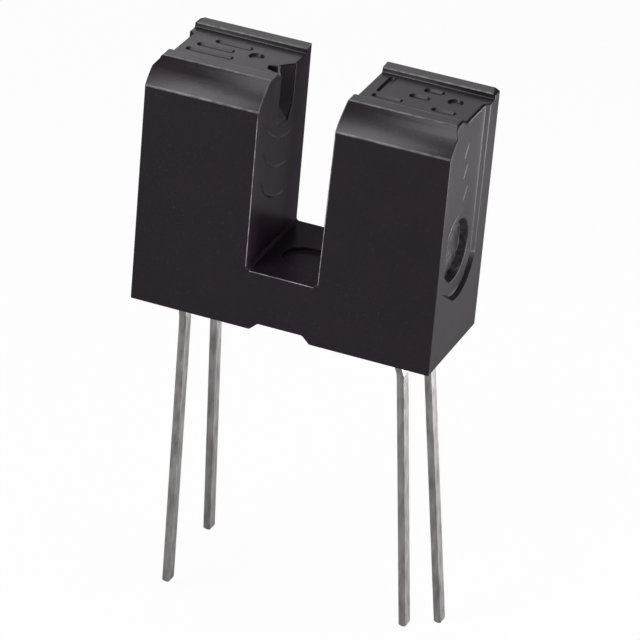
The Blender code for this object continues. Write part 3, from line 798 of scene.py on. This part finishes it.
def moulding_colour(n, cloud, slot, recess):
    """Nearly black, with painted light in the groove and in the slot, the slot's brightest at its front and
    weaker towards its back, and greyer on the floor of the recess.
    """
    tint = n.mix(cloud, PLASTIC_DARK, PLASTIC_LIGHT)
    # Painted light in the groove
    tint = n.mix(n.box_mask(GROOVE_LOW, GROOVE_HIGH), tint, GROOVE_PAINTED_LIGHT)
    # Painted light in the slot, strong at its front and weaker towards its back
    tint = n.mix(n.multiply(slot, slot_fade(n, 0.9, 0.2)), tint, SLOT_PAINTED_LIGHT)
    speck = n.span(n.noise(9.0, 2.0), 0.62, 0.72, 0.0, 0.4)
    return n.mix(recess, n.mix(speck, tint, PLASTIC_SPECK), RECESS_SKIN)


def wear_and_highlight_colour(n, base, wear_and_highlight):
    """Pale scuffs of wear over a colour, which are also a painted highlight along the rounded edges. They
    are palest on the front edges of the slot, where they are a painted highlight.
    """
    scuff_and_highlight = n.span(n.noise(3.0, 4.0), 0.36, 0.6, 0.35 * wear_and_highlight, wear_and_highlight)
    # Painted highlight on the front edges of the slot
    slot_front = n.box_mask(SLOT_FRONT_LOW, SLOT_FRONT_HIGH)
    return n.mix(scuff_and_highlight, base, n.mix(slot_front, PALE_EDGE_WEAR_AND_HIGHLIGHT, SLOT_FRONT_PAINTED_HIGHLIGHT))


def black_plastic(name, wear_and_highlight):
    """Black glass-filled plastic with the fine texture of a spark-eroded mould and a dull slot, painted
    light in the slot and the groove, and for its edge material pale wear with painted highlight.
    """
    material = bpy.data.materials.new(name)
    n = Nodes(material)
    cloud = n.noise(0.5, 3.0)
    mottle = n.noise(5.0, 3.0)
    slot = n.box_mask(SLOT_LOW, SLOT_HIGH)
    recess = n.box_mask(RECESS_LOW, RECESS_HIGH, True)
    grey = n.multiply(recess, n.span(mottle, 0.4, 0.65, 0.25, 1.0))
    n.put(n.shader.inputs["Base Color"], wear_and_highlight_colour(n, moulding_colour(n, cloud, slot, grey), wear_and_highlight))
    n.put(n.shader.inputs["Roughness"], n.span(cloud, 0.3, 0.7, 0.28, 0.33))
    dull_floor = n.box_mask(SLOT_FLOOR_LOW, SLOT_FLOOR_HIGH)
    dull = n.calculate("MAXIMUM", dull_floor, n.multiply(slot, slot_fade(n, 0.5, 0.95)))
    n.put(n.shader.inputs["Specular IOR Level"], n.span(dull, 0.0, 1.0, 0.5, 0.02))
    wave = n.bump(cloud, 0.02 * MM, 0.5)
    rough_floor = n.bump(n.multiply(recess, mottle), 0.05 * MM, 0.8, wave)
    n.put(n.shader.inputs["Normal"], n.bump(n.noise(14.0, 3.0), 0.0035 * MM, 1.0, rough_floor))
    return material


def tinned_metal():
    """Tinned lead: fine lines along its length, dull patches and small bright scratches."""
    material = bpy.data.materials.new("tinned_lead")
    n = Nodes(material)
    lines = n.noise(12.0, 3.0, (1.0, 1.0, 0.06))
    patches = n.span(n.noise(4.0, 4.0, (1.0, 1.0, 0.25)), 0.35, 0.65, 0.0, 1.0)
    grain = n.noise(16.0, 3.0)
    plain = n.mix(patches, TIN_DULL, TIN_BRIGHT)
    streaks = n.span(lines, 0.35, 0.65, 0.0, 0.5)
    n.put(n.shader.inputs["Base Color"], n.mix(streaks, plain, TIN_STREAK))
    n.shader.inputs["Metallic"].default_value = 1.0
    n.put(n.shader.inputs["Roughness"], n.span(grain, 0.3, 0.7, 0.3, 0.48))
    along = n.bump(lines, 0.012 * MM, 1.0)
    n.put(n.shader.inputs["Normal"], n.bump(grain, 0.004 * MM, 1.0, along))
    return material


def cast_resin(name, low, high, roughness, transmission=0.0):
    """Cast resin with a slow change of colour and a slightly wavy, pitted skin."""
    material = bpy.data.materials.new(name)
    n = Nodes(material)
    cloud = n.noise(1.2, 3.0)
    pits = n.span(n.noise(7.0, 2.0), 0.3, 0.42, 0.0, 1.0)
    n.put(n.shader.inputs["Base Color"], n.mix(cloud, (*low, 1.0), (*high, 1.0)))
    n.put(n.shader.inputs["Roughness"], n.span(cloud, 0.3, 0.7, roughness, roughness * 1.4))
    n.shader.inputs["Transmission Weight"].default_value = transmission
    n.put(n.shader.inputs["Normal"], n.bump(pits, 0.004 * MM, 0.6))
    return material


def chip(name, low, high):
    """Sawn semiconductor with saw lines and a faint change of colour."""
    material = bpy.data.materials.new(name)
    n = Nodes(material)
    lines = n.noise(30.0, 2.0, (0.1, 1.0, 0.1))
    n.put(n.shader.inputs["Base Color"], n.mix(n.noise(6.0, 2.0), (*low, 1.0), (*high, 1.0)))
    n.put(n.shader.inputs["Roughness"], n.span(lines, 0.3, 0.7, 0.18, 0.34))
    n.put(n.shader.inputs["Normal"], n.bump(lines, 0.001 * MM, 0.5))
    return material


def fine_metal(name, low, high, roughness, scale):
    """Metal or metal-filled paste with fine grain."""
    material = bpy.data.materials.new(name)
    n = Nodes(material)
    grain = n.noise(scale, 3.0)
    n.put(n.shader.inputs["Base Color"], n.mix(grain, (*low, 1.0), (*high, 1.0)))
    n.shader.inputs["Metallic"].default_value = 1.0
    n.put(n.shader.inputs["Roughness"], n.span(grain, 0.3, 0.7, roughness, roughness * 1.5))
    n.put(n.shader.inputs["Normal"], n.bump(grain, 0.001 * MM, 0.5))
    return material


def dress(node, material):
    """Gives a CAD node a material in place of its own."""
    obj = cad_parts[node]
    obj.data.materials.clear()
    obj.data.materials.append(material)


def dress_inner_nodes():
    """Gives the resins, chips, adhesive and bond wires their materials."""
    potting = cast_resin("potting_resin", (0.012, 0.011, 0.012), (0.024, 0.022, 0.023), 0.42)
    clear = cast_resin("emitter_resin", (0.50, 0.60, 0.75), (0.62, 0.70, 0.80), 0.07, 0.75)
    dark = cast_resin("sensor_resin", (0.012, 0.008, 0.012), (0.03, 0.018, 0.026), 0.08)
    paste = fine_metal("die_attach_silver", (0.45, 0.44, 0.42), (0.68, 0.66, 0.63), 0.42, 30.0)
    gold = fine_metal("gold_wire", (0.82, 0.58, 0.20), (0.95, 0.72, 0.32), 0.2, 40.0)
    dress("emitter_package", clear)
    dress("sensor_package", dark)
    dress("emitter_die", chip("emitter_chip", (0.13, 0.10, 0.09), (0.24, 0.20, 0.17)))
    dress("sensor_die", chip("sensor_chip", (0.06, 0.08, 0.14), (0.12, 0.14, 0.22)))
    for kind in ("emitter", "sensor"):
        dress(kind + "_potting", potting)
        dress(kind + "_die_attach", paste)
        dress(kind + "_bond_wire", gold)


def dress_leads(material):
    """Rounds the edges of the CAD leads and gives them their metal."""
    for name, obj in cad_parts.items():
        if name.endswith("_lead"):
            dress(name, material)
            weld = obj.modifiers.new("weld", "WELD")
            weld.merge_threshold = HAIR
            bevel = obj.modifiers.new("edges", "BEVEL")
            bevel.width = LEAD_EDGE_RADIUS
            bevel.segments = LEAD_EDGE_STEPS
            bevel.limit_method = "ANGLE"
            bevel.angle_limit = math.radians(LEAD_EDGE_ANGLE)


def make_camera():
    """Camera at the photograph's viewing angle, with its small roll."""
    flat = math.cos(CAMERA_ELEVATION)
    back = Vector((
        math.sin(CAMERA_AZIMUTH) * flat,
        -math.cos(CAMERA_AZIMUTH) * flat,
        math.sin(CAMERA_ELEVATION),
    ))
    level = (-back).cross(Vector((0.0, 0.0, 1.0))).normalized()
    upright = level.cross(-back)
    right = level * math.cos(CAMERA_ROLL) + upright * math.sin(CAMERA_ROLL)
    up = upright * math.cos(CAMERA_ROLL) - level * math.sin(CAMERA_ROLL)
    data = bpy.data.cameras.new("camera")
    data.sensor_width = CAMERA_SENSOR
    data.lens = CAMERA_LENS
    data.clip_start, data.clip_end = CAMERA_CLIP
    camera = bpy.data.objects.new("camera", data)
    bpy.context.scene.collection.objects.link(camera)
    turn = Matrix((right, up, back)).transposed().to_4x4()
    camera.matrix_world = Matrix.Translation(CAMERA_TARGET + back * CAMERA_DISTANCE) @ turn
    bpy.context.scene.camera = camera


def floor_material():
    """Pale floor. The camera sees it nearly white with the object's faint shadow."""
    material = bpy.data.materials.new("floor")
    n = Nodes(material)
    n.shader.inputs["Roughness"].default_value = 0.8
    n.shader.inputs["Specular IOR Level"].default_value = 0.1
    shade = n.mix(n.noise(0.02, 2.0), FLOOR_DARK, FLOOR_LIGHT)
    n.put(n.shader.inputs["Base Color"], shade)
    glow = n.add("ShaderNodeEmission", Strength=FLOOR_GLOW)
    path = n.add("ShaderNodeLightPath")
    blend = n.add("ShaderNodeMixShader")
    n.put(blend.inputs[0], n.multiply(path.outputs["Is Camera Ray"], FLOOR_CAMERA_SHARE))
    n.put(blend.inputs[1], n.shader.outputs[0])
    n.put(blend.inputs[2], glow.outputs[0])
    out = n.tree.nodes["Material Output"]
    n.put(out.inputs["Surface"], blend.outputs[0])
    return material


def make_floor():
    """Large flat floor under the lead tips."""
    bm = bmesh.new()
    bmesh.ops.create_grid(bm, x_segments=8, y_segments=8, size=FLOOR_SIZE / 2)
    floor = finish_mesh("floor", bm)
    floor.location.z = FLOOR_Z
    floor.data.materials.append(floor_material())


def soft_light(name, place, aim, width, height, radiance):
    """Softbox that shows the given radiance, with its place, aim and sizes in millimetres."""
    data = bpy.data.lights.new(name, "AREA")
    data.shape = "RECTANGLE"
    data.size = width * MM
    data.size_y = height * MM
    data.energy = radiance * math.pi * data.size * data.size_y
    light = bpy.data.objects.new(name, data)
    bpy.context.scene.collection.objects.link(light)
    light.location = Vector(place) * MM
    light.rotation_mode = "QUATERNION"
    light.rotation_quaternion = (Vector(aim) - Vector(place)).to_track_quat("-Z", "Y")
    light.visible_camera = False


def around(azimuth, elevation):
    """Place of a softbox in millimetres. Azimuth 0 is the front, 90 the sensor side and 180 the back."""
    a = math.radians(azimuth)
    e = math.radians(elevation)
    direction = Vector((math.sin(a) * math.cos(e), -math.cos(a) * math.cos(e), math.sin(e)))
    return direction * LIGHT_DISTANCE + Vector(MIDDLE)


def make_world():
    """White for the camera, and a dark studio for everything else."""
    world = bpy.data.worlds.new("studio")
    bpy.context.scene.world = world
    world.use_nodes = True
    tree = world.node_tree
    background = tree.nodes["Background"]
    background.inputs["Color"].default_value = (1.0, 1.0, 1.0, 1.0)
    path = tree.nodes.new("ShaderNodeLightPath")
    level = tree.nodes.new("ShaderNodeMapRange")
    level.inputs["To Min"].default_value = STUDIO_LEVEL
    level.inputs["To Max"].default_value = 1.0
    tree.links.new(path.outputs["Is Camera Ray"], level.inputs["Value"])
    tree.links.new(level.outputs[0], background.inputs["Strength"])


def light_scene():
    """Dark studio, large softboxes round the object and low ones beside its leads."""
    make_world()
    for name, (azimuth, elevation, size, radiance) in ROUND_LIGHTS.items():
        soft_light(name, around(azimuth, elevation), MIDDLE, size, size, radiance)
    for name, (place, width, height, radiance) in SIDE_LIGHTS.items():
        soft_light(name, place, FOOT, width, height, radiance)
    bpy.context.scene.view_settings.view_transform = "Standard"


def main():
    """Builds the whole scene."""
    build_housing()
    dress_inner_nodes()
    dress_leads(tinned_metal())
    make_floor()
    light_scene()
    make_camera()


main()
